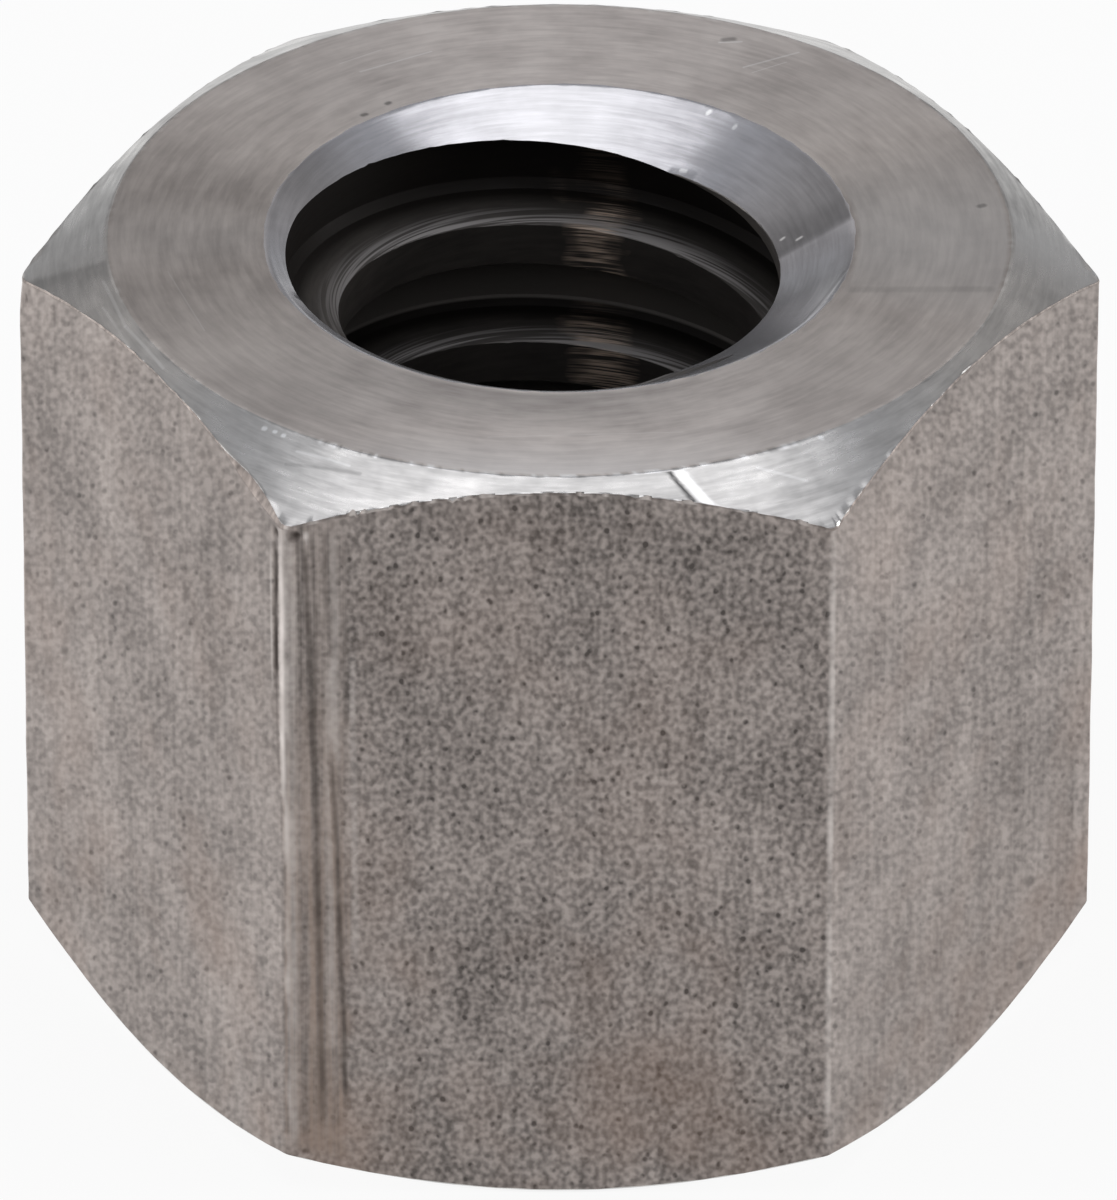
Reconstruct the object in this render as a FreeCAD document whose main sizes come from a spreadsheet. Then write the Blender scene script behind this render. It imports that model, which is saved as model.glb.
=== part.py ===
import FreeCAD, Part
import math
import os
import Sketcher

# Trapezoidal thread hex nut, Tr16x4, tall form, in millimetres.
# It is one piece, turned and threaded from hexagon bar, so it is one body.
# Frame: +Z along the thread axis, origin at the centre of the lower end face.
# One flat faces -Y and two of the six corners lie on the X axis.

NODE = "nut"

# Driving dimensions: alias, value in millimetres or degrees, meaning
DIMENSIONS = [
    ("across_flats", 27.0, "wrench size of the hexagon"),
    ("nut_height", 24.0, "length over both end faces"),
    ("upper_face_inset", 0.5, "from a flat in to the edge of the upper end face"),
    ("lower_face_inset", 0.15, "from a flat in to the edge of the lower end face"),
    ("corner_slope", 30.0, "corner chamfers, measured from the end face"),
    ("root_dia", 16.0, "thread over its roots"),
    ("thread_depth", 1.65, "from crest to root, on the radius"),
    ("pitch", 4.0, "rise of the right-hand thread in one turn"),
    ("root_width", 1.76, "height of the groove at its root, over the bevels"),
    ("root_bevel", 0.25, "bevel in the two corners of the root"),
    ("flank_slope", 15.0, "each flank, measured from a plane square to the axis"),
    ("thread_start", 0.8, "middle of the groove above the lower face, on the +X side"),
    ("countersink_margin", 0.45, "from the thread's root out to the countersink's mouth"),
    ("countersink_slope", 30.0, "wall of each countersink, measured from the end face"),
]

# Cutting profiles reach this far past the metal that they cut
OVERCUT = 0.25

CORNER_REACH = f"Sizes.across_flats / 2 / cos(30 deg) + {OVERCUT}"
CREST_RADIUS = "Sizes.root_dia / 2 - Sizes.thread_depth"
MOUTH_RADIUS = "Sizes.root_dia / 2 + Sizes.countersink_margin"
BEVEL_HALF = "(Sizes.root_width / 2 + Sizes.root_bevel * tan(Sizes.flank_slope * 1 deg))"

# How constraints number the points of a line or arc, and the sketch's own axes and origin
START, END, CENTRE = range(1, 4)
H_AXIS, V_AXIS = range(-1, -3, -1)
ORIGIN = (H_AXIS, START)


def make_sheet(doc):
    """Spreadsheet with one named cell for each driving dimension."""
    sheet = doc.addObject("Spreadsheet::Sheet", "Sizes")
    for row, (alias, value, meaning) in enumerate(DIMENSIONS, start=1):
        sheet.set(f"A{row}", alias)
        sheet.set(f"B{row}", str(value))
        sheet.setAlias(f"B{row}", alias)
        sheet.set(f"C{row}", meaning)
    doc.recompute()
    return sheet


def new_sketch(body, name, role):
    """Empty sketch on the body's own origin plane with this role, such as XY_Plane."""
    plane = next(item for item in body.Origin.OriginFeatures if item.Role == role)
    sketch = body.newObject("Sketcher::SketchObject", name)
    sketch.AttachmentSupport = [(plane, "")]
    sketch.MapMode = "FlatFace"
    return sketch


def relate(sketch, kind, *geometry):
    """Add a constraint, such as Horizontal or Equal."""
    return sketch.addConstraint(Sketcher.Constraint(kind, *geometry))


def drive(sketch, name, expression, kind, *geometry):
    """Add a named dimension that the sheet sets; geometry ends with its first value."""
    index = relate(sketch, kind, *geometry)
    sketch.renameConstraint(index, name)
    sketch.setExpression(f"Constraints.{name}", expression)


def drive_to_face(sketch, upper, line, point, sizes):
    """Hold a point of an upright sketch level with the upper or the lower end face."""
    if upper:
        drive(sketch, "face_height", "Sizes.nut_height",
              "DistanceY", *ORIGIN, line, point, sizes.nut_height)
    else:
        relate(sketch, "PointOnObject", line, point, H_AXIS)


def add_polygon(sketch, points):
    """Closed chain of lines; line number i runs from point i to the next one."""
    vectors = [FreeCAD.Vector(x, y, 0) for x, y in points]
    for start, end in zip(vectors, vectors[1:] + vectors[:1]):
        sketch.addGeometry(Part.LineSegment(start, end), False)
    for line in range(len(points)):
        relate(sketch, "Coincident", line, END, (line + 1) % len(points), START)


def cut_turned(body, sketch, name):
    """Turn the sketch about the thread axis and take it away."""
    groove = body.newObject("PartDesign::Groove", name)
    groove.Profile = sketch
    groove.ReferenceAxis = (sketch, ["V_Axis"])
    groove.Angle = 360
    groove.Refine = False


def add_hexagon_bar(body, sizes):
    """Length of hexagon bar with two flats square to Y."""
    sketch = new_sketch(body, "hexagon", "XY_Plane")
    corner_radius = sizes.across_flats / 2 / math.cos(math.radians(30))
    turns = [math.radians(60 * corner) for corner in range(6)]
    add_polygon(sketch, [(corner_radius * math.cos(turn), corner_radius * math.sin(turn)) for turn in turns])
    centre, up = FreeCAD.Vector(0, 0, 0), FreeCAD.Vector(0, 0, 1)
    circle = sketch.addGeometry(Part.Circle(centre, up, corner_radius), True)
    relate(sketch, "Coincident", circle, CENTRE, *ORIGIN)
    for side in range(6):
        relate(sketch, "PointOnObject", side, START, circle)
    for side in range(1, 6):
        relate(sketch, "Equal", 0, side)
    back_line, front_line = 1, 4
    relate(sketch, "Horizontal", back_line)
    drive(sketch, "across_flats", "Sizes.across_flats",
          "DistanceY", front_line, START, back_line, START, sizes.across_flats)
    pad = body.newObject("PartDesign::Pad", "hexagon_bar")
    pad.Profile = sketch
    pad.setExpression("Length", "Sizes.nut_height")


def add_corner_chamfer(body, sizes, upper):
    """Cone turned onto the six corners at one end, from the edge of its face outwards."""
    end = "upper" if upper else "lower"
    sketch = new_sketch(body, f"{end}_chamfer_profile", "XZ_Plane")
    face, into = (sizes.nut_height, -1) if upper else (0, 1)
    inner = sizes.across_flats / 2 - getattr(sizes, f"{end}_face_inset")
    outer = sizes.across_flats / 2 / math.cos(math.radians(30)) + OVERCUT
    slope = math.radians(sizes.corner_slope)
    rise = into * (outer - inner) * math.tan(slope)
    add_polygon(sketch, [(inner, face), (outer, face), (outer, face + rise)])
    face_line, outer_line, cone_line = range(3)
    drive_to_face(sketch, upper, face_line, START, sizes)
    relate(sketch, "Horizontal", face_line)
    relate(sketch, "Vertical", outer_line)
    drive(sketch, "face_radius", f"Sizes.across_flats / 2 - Sizes.{end}_face_inset",
          "DistanceX", *ORIGIN, face_line, START, inner)
    drive(sketch, "reach", CORNER_REACH, "DistanceX", *ORIGIN, face_line, END, outer)
    lines = (cone_line, END, face_line, START) if upper else (face_line, START, cone_line, END)
    drive(sketch, "slope", "Sizes.corner_slope * 1 deg", "Angle", *lines, slope)
    cut_turned(body, sketch, f"{end}_chamfer")


def add_bore(body, sizes):
    """Through bore over the crests of the thread.

    Its circle is drawn as quarter arcs, and no later feature is refined, so the crest
    of the thread is kept as one short face for each quarter turn.
    """
    sketch = new_sketch(body, "bore_circle", "XY_Plane")
    centre, up = FreeCAD.Vector(0, 0, 0), FreeCAD.Vector(0, 0, 1)
    radius = sizes.root_dia / 2 - sizes.thread_depth
    quarter = math.radians(90)
    for arc in range(4):
        circle = Part.Circle(centre, up, radius)
        sketch.addGeometry(Part.ArcOfCircle(circle, arc * quarter, (arc + 1) * quarter), False)
        relate(sketch, "Coincident", arc, CENTRE, *ORIGIN)
        relate(sketch, "PointOnObject", arc, START, (H_AXIS, V_AXIS)[arc % 2])
    for arc in range(4):
        relate(sketch, "Coincident", arc, END, (arc + 1) % 4, START)
    drive(sketch, "crest_radius", CREST_RADIUS, "Radius", 0, radius)
    pocket = body.newObject("PartDesign::Pocket", "bore")
    pocket.Profile = sketch
    pocket.Type = "ThroughAll"
    pocket.Reversed = True
    pocket.Refine = False


def add_countersink(body, sizes, upper):
    """Point of the countersinking tool, taken out of one end."""
    end = "upper" if upper else "lower"
    sketch = new_sketch(body, f"{end}_countersink_profile", "XZ_Plane")
    face, into = (sizes.nut_height, -1) if upper else (0, 1)
    mouth = sizes.root_dia / 2 + sizes.countersink_margin
    slope = math.radians(sizes.countersink_slope)
    add_polygon(sketch, [(0, face), (mouth, face), (0, face + into * mouth * math.tan(slope))])
    face_line, cone_line, axis_line = range(3)
    drive_to_face(sketch, upper, face_line, END, sizes)
    relate(sketch, "Horizontal", face_line)
    relate(sketch, "PointOnObject", face_line, START, V_AXIS)
    relate(sketch, "PointOnObject", axis_line, START, V_AXIS)
    drive(sketch, "mouth_radius", MOUTH_RADIUS, "DistanceX", *ORIGIN, face_line, END, mouth)
    lines = (face_line, END, cone_line, START) if upper else (cone_line, START, face_line, END)
    drive(sketch, "slope", "Sizes.countersink_slope * 1 deg", "Angle", *lines, slope)
    cut_turned(body, sketch, f"{end}_countersink")


def add_thread(body, sizes):
    """Right-hand trapezoidal groove that runs out through both countersinks.

    The profile starts one pitch below its place in the lower end and the helix is two
    pitches longer than the nut, so the groove enters and leaves at its full section.
    """
    sketch = new_sketch(body, "groove_profile", "XZ_Plane")
    root, bevel = sizes.root_dia / 2, sizes.root_bevel
    inner = root - sizes.thread_depth - OVERCUT
    slope = math.radians(sizes.flank_slope)
    middle = sizes.thread_start - sizes.pitch
    inner_half = sizes.root_width / 2 + (root - inner) * math.tan(slope)
    bevel_half = sizes.root_width / 2 + bevel * math.tan(slope)
    add_polygon(sketch, [
        (inner, middle - inner_half), (root - bevel, middle - bevel_half),
        (root, middle - bevel_half + bevel), (root, middle + bevel_half - bevel),
        (root - bevel, middle + bevel_half), (inner, middle + inner_half),
    ])
    lower_flank, lower_bevel, root_line, upper_bevel, upper_flank, inner_line = range(6)
    relate(sketch, "Vertical", root_line)
    relate(sketch, "Vertical", inner_line)
    relate(sketch, "Equal", lower_flank, upper_flank)
    relate(sketch, "Equal", lower_bevel, upper_bevel)
    drive(sketch, "inner_radius", f"{CREST_RADIUS} - {OVERCUT}",
          "DistanceX", *ORIGIN, lower_flank, START, inner)
    drive(sketch, "root_radius", "Sizes.root_dia / 2", "DistanceX", *ORIGIN, root_line, START, root)
    drive(sketch, "flank_slope", "Sizes.flank_slope * 1 deg", "Angle", lower_flank, slope)
    drive(sketch, "bevel_depth", "Sizes.root_bevel",
          "DistanceX", lower_bevel, START, lower_bevel, END, bevel)
    drive(sketch, "bevel_rise", "Sizes.root_bevel",
          "DistanceY", lower_bevel, START, lower_bevel, END, bevel)
    drive(sketch, "width_at_bevels", f"2 * {BEVEL_HALF}",
          "DistanceY", lower_bevel, START, upper_bevel, END, 2 * bevel_half)
    drive(sketch, "depth_below_face", f"Sizes.pitch - Sizes.thread_start + {BEVEL_HALF}",
          "DistanceY", lower_bevel, START, *ORIGIN, bevel_half - middle)
    groove = body.newObject("PartDesign::SubtractiveHelix", "thread_groove")
    groove.Profile = sketch
    groove.ReferenceAxis = (sketch, ["V_Axis"])
    groove.Mode = "pitch-height-angle"
    groove.setExpression("Pitch", "Sizes.pitch")
    groove.setExpression("Height", "Sizes.nut_height + 2 * Sizes.pitch")
    groove.Refine = False


def check(doc, body):
    """Stop before writing if a feature failed or cut nothing, or the body isn't one good solid."""
    for item in doc.Objects:
        if "Invalid" in item.State or "Error" in item.State:
            raise RuntimeError(f"{item.Name} failed: {item.State}")
        base = getattr(item, "BaseFeature", None)
        if base and item.Shape.Volume >= base.Shape.Volume:
            raise RuntimeError(f"{item.Name} takes nothing away")
    if body.Shape.isNull() or not body.Shape.isValid() or len(body.Shape.Solids) != 1:
        raise RuntimeError(f"{body.Label} is not one valid solid")


def main():
    doc = FreeCAD.newDocument("trapezoidal_thread_hex_nut")
    sizes = make_sheet(doc)
    body = doc.addObject("PartDesign::Body", NODE)
    body.Label = NODE
    body.Placement = FreeCAD.Placement()
    add_hexagon_bar(body, sizes)
    add_corner_chamfer(body, sizes, upper=True)
    add_corner_chamfer(body, sizes, upper=False)
    add_bore(body, sizes)
    add_countersink(body, sizes, upper=True)
    add_countersink(body, sizes, upper=False)
    add_thread(body, sizes)
    doc.recompute()
    check(doc, body)
    os.makedirs("parts", exist_ok=True)
    body.Shape.exportStep(f"parts/{body.Label}.step")
    print(f"{body.Label}: {body.Shape.Volume:.1f} mm3")


main()
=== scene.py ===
import math

import bmesh
import bpy
import numpy as np
from mathutils import Matrix, Vector


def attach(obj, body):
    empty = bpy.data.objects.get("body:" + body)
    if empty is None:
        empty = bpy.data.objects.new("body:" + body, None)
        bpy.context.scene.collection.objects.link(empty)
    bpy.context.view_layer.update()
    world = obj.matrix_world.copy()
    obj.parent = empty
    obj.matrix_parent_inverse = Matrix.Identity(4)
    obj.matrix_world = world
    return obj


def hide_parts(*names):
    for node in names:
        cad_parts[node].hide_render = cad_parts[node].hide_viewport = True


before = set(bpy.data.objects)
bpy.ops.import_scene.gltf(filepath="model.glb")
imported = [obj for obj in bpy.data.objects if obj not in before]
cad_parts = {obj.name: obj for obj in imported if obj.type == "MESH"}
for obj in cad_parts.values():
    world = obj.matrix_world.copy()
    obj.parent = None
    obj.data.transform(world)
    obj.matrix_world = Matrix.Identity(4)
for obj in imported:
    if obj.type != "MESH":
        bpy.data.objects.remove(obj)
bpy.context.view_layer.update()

# Form of the nut, as in the CAD source. Lengths are in millimetres, angles in degrees.
HALF_FLATS = 13.5
HEIGHT = 24.0
UPPER_RIM = 13.0
LOWER_RIM = 13.35
MOUTH = 8.45
ROOT = 8.0
CREST = 6.35
PITCH = 4.0
ROOT_WIDTH = 1.76
ROOT_BEVEL = 0.25
THREAD_START = 0.8
SLOPE = math.tan(math.radians(30.0))
FLANK = math.tan(math.radians(15.0))
COS_30 = 0.866

MM = 0.001
CORNER_RADIUS = HALF_FLATS / math.cos(math.radians(30.0))
HALF_SIDE = CORNER_RADIUS / 2
ROUND_RIM = 2 * math.pi * UPPER_RIM
FRONT = 270.0
FRONT_LEFT = 240.0
RIGHT_FLAT = 330.0

# Half outline of the thread's groove: distances from its middle, and the radius at each
BEVEL_HALF = ROOT_WIDTH / 2 + ROOT_BEVEL * FLANK
CREST_HALF = ROOT_WIDTH / 2 + (ROOT - CREST) * FLANK
GROOVE_HEIGHTS = [0, BEVEL_HALF - ROOT_BEVEL, BEVEL_HALF, CREST_HALF, PITCH / 2]
GROOVE_RADII = [ROOT, ROOT, ROOT - ROOT_BEVEL, CREST, CREST]

# Countersinks: where the bore's sections begin, and how deep the cone meets the crest
JOIN_RADIUS = 8.2
JOIN_DEPTH = (MOUTH - JOIN_RADIUS) * SLOPE
CREST_DEPTH = (MOUTH - CREST) * SLOPE

# Thin end of the groove in the upper countersink, dressed away: angles, and filling at each
RUN_OUT_ANGLES = (272.0, 300.0, 359.0)
RUN_OUT_FILLING = (0.0, 0.45, 0.45)

# Worn bevel on each corner of the bar: the corner's angle, and the width
CORNER_WEAR = {0: 0.16, 60: 0.15, 120: 0.17, 180: 0.16, 240: 0.26, 300: 0.19}
# The corner that is blunt near the top: its angle, added wear, and where the wear begins
BLUNT_CORNER, BLUNT_WEAR, BLUNT_FROM, BLUNT_RUN = 180, 0.26, 21.2, 1.2
# Width of the other bevels, and how far the flats stand back to leave room for burrs
EDGE = 0.03
LIP = 0.03

# Heights at which the bar's outline is taken for its upper and lower edge
UPPER_LEVEL, LOWER_LEVEL = 22.5, 1.0

# Rows and columns of the mesh. The sides count from the angle of 0; 3 to 5 are seen in front.
LEFT_SIDE, FRONT_SIDE = 3, 4
FACE_RADII = (8.7, 9.1, 9.6, 10.2, 10.8, 11.4, 12.0, 12.5)
SINK_RING = 8.3
UPPER_CHAMFER_SHARES = (0.05, 0.14, 0.27, 0.42, 0.58, 0.74, 0.87)
LOWER_CHAMFER_SHARES = (0.97, 0.8, 0.5, 0.2)
EDGE_DROPS = (0.05, 0.10, 0.16, 0.22, 0.28, 0.34, 0.41, 0.49)
LOWER_RISES = (0.22, 0.08, EDGE)
SIDE_ROWS = 44
BORE_COLUMNS = 240
FACE_COLUMNS = 480
LEAST_STEP = 0.08
LONGEST_LINE = 0.36
SHORTEST_LINE = 0.004
SHARP_ANGLE = 24

# Surface zones, in the order of the material slots
BAR, CHAMFER, FACE, SINK, THREAD = range(5)

# Scraped strip at the front left corner, with some painted light and shade. Each streak has,
# at its upper and lower end, its height and its distance from the corner: positive on the
# front flat, negative on the left one. Then come its width, its tone from dark to light, and its
# depth.
STREAKS_AND_PAINTED_LIGHT = [
    # Painted highlight along the corner
    (22.4, -0.15, 13.5, -0.12, 0.17, 0.80, 0.0),
    (13.5, -0.10, 2.0, -0.05, 0.18, -0.42, 0.0),
    (22.2, 0.24, 1.5, 0.22, 0.22, 0.34, 0.0),
    (22.3, 0.42, 17.0, 0.50, 0.07, -0.45, 0.01),
    (21.9, 0.58, 14.0, 0.90, 0.15, -0.66, 0.02),
    (14.0, 0.90, 2.5, 1.05, 0.18, -0.66, 0.02),
    (22.3, 0.85, 16.0, 0.95, 0.10, -0.38, 0.008),
    (22.3, 1.22, 19.5, 1.20, 0.11, -0.55, 0.012),
    (22.3, 1.45, 14.5, 1.50, 0.18, 0.32, 0.0),
    (18.0, 1.30, 5.0, 1.32, 0.20, 0.30, 0.0),
    (15.0, 1.36, 3.0, 1.74, 0.14, -0.72, 0.015),
    (22.0, 1.72, 16.0, 1.78, 0.10, -0.38, 0.006),
    (18.5, 1.95, 8.0, 2.02, 0.16, 0.26, 0.0),
    # Painted shade beside a burr, over a real groove, in this row and the next
    (21.9, -0.44, 17.2, -0.42, 0.20, -0.98, 0.05),
    (17.2, -0.42, 14.0, -0.34, 0.13, -0.55, 0.02),
    # Painted highlight on the burr's raised ridge
    (21.6, -0.70, 17.0, -0.66, 0.12, 0.35, -0.01),
    (9.0, 2.70, 0.8, 2.50, 1.10, 0.10, 0.0),
]
SCRAPED_WIDTH = 1.9
# Painted highlight along each corner: half width and tone
CORNER_HIGHLIGHT_HALF, CORNER_HIGHLIGHT_TONE = 0.20, 0.55
# Lower part of the right flat, darker towards the bottom: where it begins, how it fades in, tone
DARKER_BELOW, DARKER_RUN, DARKER_TONE = 11.0, 5.0, 0.16

# Pits: the corner's angle, height, distance from it, half width, half height, depth, tone
PITS = [
    (240, 22.28, 0.32, 0.28, 0.24, 0.12, -0.97),
    (240, 22.30, 0.66, 0.12, 0.22, -0.02, 0.8),
    (240, 22.20, -0.42, 0.22, 0.26, 0.08, -0.90),
    (180, 22.05, 0.50, 0.10, 0.30, 0.04, -0.85),
    (180, 21.75, 0.30, 0.14, 0.16, 0.04, -0.80),
    (180, 22.35, 0.05, 0.26, 0.30, 0.0, 0.55),
]

# Chips along the upper edge of the flats: angle, half width in degrees, drop of the edge
CHIPS = [
    (247.2, 0.35, 0.10), (248.4, 0.30, 0.08), (250.3, 0.25, 0.07), (252.0, 0.5, 0.05),
    (257.6, 0.35, 0.10), (259.0, 0.2, 0.06), (279.3, 0.4, 0.12), (291.5, 0.3, 0.06),
    (300.9, 0.5, 0.10), (302.6, 0.6, 0.12), (305.0, 0.4, 0.08), (308.0, 0.3, 0.06),
]

# Burrs on the same edge: angle, half width in degrees, height of the bead
BURRS = [
    (246.7, 0.5, 0.17), (247.9, 0.3, 0.11), (249.3, 0.25, 0.09), (251.0, 0.2, 0.07),
    (253.4, 0.2, 0.06), (255.6, 0.2, 0.06), (258.3, 0.2, 0.07), (262.0, 0.2, 0.05),
    (280.4, 0.25, 0.06), (292.3, 0.2, 0.05), (301.6, 0.35, 0.05), (303.6, 0.3, 0.03),
    (306.1, 0.3, 0.04), (311.0, 0.2, 0.03),
]

# Marks on the turned surfaces, seen from above: start and end of each, half width, tone
FACE_MARKS = [
    ((5.35, 9.45), (6.95, 10.30), 0.05, 0.35),
    ((5.60, 9.15), (6.60, 9.75), 0.03, 0.30),
    ((4.80, 11.00), (5.05, 11.05), 0.16, -0.45),
    ((4.65, 10.85), (5.30, 10.90), 0.05, 0.40),
    ((-5.80, 9.15), (-3.75, 10.30), 0.05, 0.30),
    ((-6.40, 9.60), (-5.20, 10.40), 0.03, 0.25),
    ((8.40, -2.90), (12.30, -2.85), 0.22, -0.14),
    ((12.10, 1.70), (12.20, 1.75), 0.14, -0.45),
    ((-5.70, 6.70), (-5.62, 6.75), 0.12, -0.60),
    ((-5.00, 7.35), (-4.95, 7.40), 0.12, -0.60),
    ((-11.2, -2.0), (-10.1, -5.2), 0.03, 0.18),
    ((-2.0, -10.9), (3.5, -10.6), 0.03, 0.15),
]
SINK_MARKS = [
    ((8.15, -1.80), (7.00, -4.35), 0.06, -0.30),
    ((8.27, -1.80), (7.12, -4.40), 0.04, 0.25),
    # The tiny bright dots are painted glints on nicks
    ((6.40, 1.60), (6.45, 1.62), 0.08, 0.80),
    ((6.85, 1.25), (6.95, 1.27), 0.08, 0.80),
    ((4.30, 7.05), (4.36, 7.08), 0.10, 0.80),
    ((5.05, 6.35), (5.10, 6.40), 0.09, 0.80),
    ((-1.70, 6.30), (-1.48, 6.36), 0.06, 0.80),
    ((-4.82, 4.40), (-4.72, 4.52), 0.07, 0.80),
    ((3.52, 5.50), (3.66, 5.42), 0.08, 0.80),
]
CHAMFER_MARKS = [
    # The tiny bright dots are painted glints on burrs at the rim
    ((-8.35, -10.25), (-8.30, -10.28), 0.09, 0.90),
    ((-8.05, -10.45), (-8.00, -10.48), 0.07, 0.90),
    ((-7.80, -10.65), (-7.76, -10.67), 0.08, 0.90),
    ((-7.70, -11.55), (-5.60, -12.35), 0.07, -0.20),
    ((-7.40, -11.25), (-5.90, -12.05), 0.05, 0.28),
    ((5.60, -12.15), (7.00, -12.20), 0.06, 0.25),
    ((7.38, -10.80), (7.42, -10.80), 0.10, 0.90),
    ((-13.05, -2.30), (-12.37, -4.75), 0.06, 0.30),
    ((-12.37, -4.75), (-11.24, -7.02), 0.06, 0.35),
    ((-13.04, -3.49), (-12.23, -5.70), 0.05, 0.25),
    ((-13.35, -4.30), (-12.75, -5.80), 0.04, 0.20),
]

# Painted reflection in paler and darker sectors of the upper end: middle angle, half width in
# degrees, tone
SINK_PAINTED_SECTORS = [(92, 30, 0.26), (157, 26, -0.50), (200, 22, -0.22), (344, 16, -0.45)]
FACE_PAINTED_SECTORS = [(0, 30, 0.42), (180, 14, 0.12), (222, 40, -0.13), (325, 24, -0.10)]
CHAMFER_PAINTED_SECTORS = [(0, 9, 0.30), (274, 24, -0.17), (338, 14, -0.16)]

# Nicks on the edge between bore and countersink: angle, half width in degrees, width
BORE_NICKS = [(138.0, 1.6, 0.04), (122.0, 1.6, 0.02), (57.0, 2.0, 0.04), (104.0, 1.4, 0.03)]
# Crisp part of the same edge: middle angle, half width in degrees, bevel
CRISP_MIDDLE, CRISP_HALF, CRISP_BEVEL = 172, 24, 0.008

# White floor, in metres: half its size, how far it lies below the nut, and the radii between
# which its glow sets in, up to this share
FLOOR_HALF, FLOOR_DROP = 4.0, 0.00003
GLOW_FROM, GLOW_TO, GLOW_SHARE = 0.0115, 0.0135, 0.91

# Lamps: place and size in metres, radiance, colour
SOFTBOX = ((0.0, -0.05, 1.2), (1.22, 1.0), 1.22, (0.99, 0.985, 1.0))
LEFT_PANEL = ((-1.45, 0.08, 0.24), (1.1, 0.44), 8.1, (1.0, 1.0, 1.0))
RIGHT_PANEL = ((1.45, 0.08, 0.24), (1.1, 0.44), 8.1, (1.0, 1.0, 1.0))


def lattice_noise(where, size, seed, around=None):
    """Smooth noise from -1 to 1 on a line, at these places in multiples of size."""
    count = 4096 if around is None else max(3, round(around / size))
    random = np.random.RandomState(seed).uniform(-1, 1, count)
    place = np.asarray(where, float) / (size if around is None else around / count)
    cell = np.floor(place).astype(int)
    blend = place - cell
    blend = blend * blend * (3 - 2 * blend)
    return random[cell % count] * (1 - blend) + random[(cell + 1) % count] * blend


def bump_shape(distance):
    """Rounded bump: 1 in the middle, 0 from a distance of 1 outwards."""
    return np.clip(1 - np.asarray(distance, float) ** 2, 0, None) ** 2


def rim_noise(theta, size, seed):
    """Noise along a circle through the edges, with sizes that don't depend on the angle."""
    return lattice_noise(np.radians(theta) * UPPER_RIM, size, seed, ROUND_RIM)


def height_noise(z, size, seed):
    """Noise along the height. The added length keeps every place above zero."""
    return lattice_noise(z + 40, size, seed)


def angle_from(theta, middle):
    """Signed difference of two angles, from -180 to 180."""
    return (np.asarray(theta, float) - middle + 180) % 360 - 180


def sector(theta, middle, inner, outer, rest=0.0):
    """1 up to inner degrees from the middle, and falling to rest at outer degrees."""
    return np.interp(np.abs(angle_from(theta, middle)), (inner, outer), (1.0, rest))


def bumps(theta, rows):
    """Sum of rounded bumps over the angle: middle, half width and height of each."""
    total = np.zeros_like(np.asarray(theta, float))
    for middle, half_width, height in rows:
        total = total + height * bump_shape(angle_from(theta, middle) / half_width)
    return total


def along_flat(theta):
    """Distance from the middle of the flat that this angle meets, growing with the angle."""
    return HALF_FLATS * np.tan(np.radians((np.asarray(theta, float) % 60) - 30))


def from_corner(theta, corner):
    """Distance from a corner of the bar, positive on the side where the angle grows.

    It is measured on the two flats that meet there. Every other point counts as far away.
    """
    away = angle_from(theta, corner)
    side = np.where(away >= 0, 1.0, -1.0)
    far, two_flats = 99.0, 59.9
    return np.where(np.abs(away) < two_flats, along_flat(theta) + side * HALF_SIDE, side * far)


def streak_and_light_cover(theta, z):
    """Tone, depth and share of scraped metal at points of the flats; the tone holds painted
    highlights and shade.
    """
    away = from_corner(theta, FRONT_LEFT)
    tone = np.zeros_like(z)
    depth = np.zeros_like(z)
    for top, from_top, bottom, from_bottom, width, shade, deep in STREAKS_AND_PAINTED_LIGHT:
        share = np.clip((top - z) / (top - bottom), 0, 1)
        wander = 0.03 * height_noise(z, 1.7, int(top * 10 + from_top * 100) % 997)
        middle = from_top + (from_bottom - from_top) * share + wander
        ends = np.clip(np.minimum(top - z, z - bottom) / 0.7 + 0.4, 0, 1)
        flicker = 0.8 + 0.35 * height_noise(z, 0.45, int(bottom * 7 + width * 1000) % 991)
        cover = bump_shape((away - middle) / width) * ends * flicker
        tone = tone + shade * cover
        depth = depth + deep * cover
    for corner, height, place, half_width, half_height, deep, shade in PITS:
        aside = (from_corner(theta, corner) - place) / half_width
        cover = bump_shape(np.hypot(aside, (z - height) / half_height))
        tone = np.where(cover > 0, tone * (1 - cover) + shade * cover, tone)
        depth = depth + deep * cover
    # Painted highlight along each corner of the bar
    beside = HALF_SIDE - np.abs(along_flat(theta))
    line = bump_shape(beside / CORNER_HIGHLIGHT_HALF) * (0.7 + 0.5 * height_noise(z, 0.8, 71))
    low = np.clip((DARKER_BELOW - z) / DARKER_RUN, 0, 1)
    tone = tone + CORNER_HIGHLIGHT_TONE * line - DARKER_TONE * low * sector(theta, RIGHT_FLAT, 25, 30)
    edge = SCRAPED_WIDTH + 0.15 * height_noise(z, 0.5, 77)
    scraped = np.clip((edge - away) / 0.35, 0, 1) * np.clip((away + 0.12) / 0.08, 0, 1)
    return tone, depth, scraped


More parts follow.
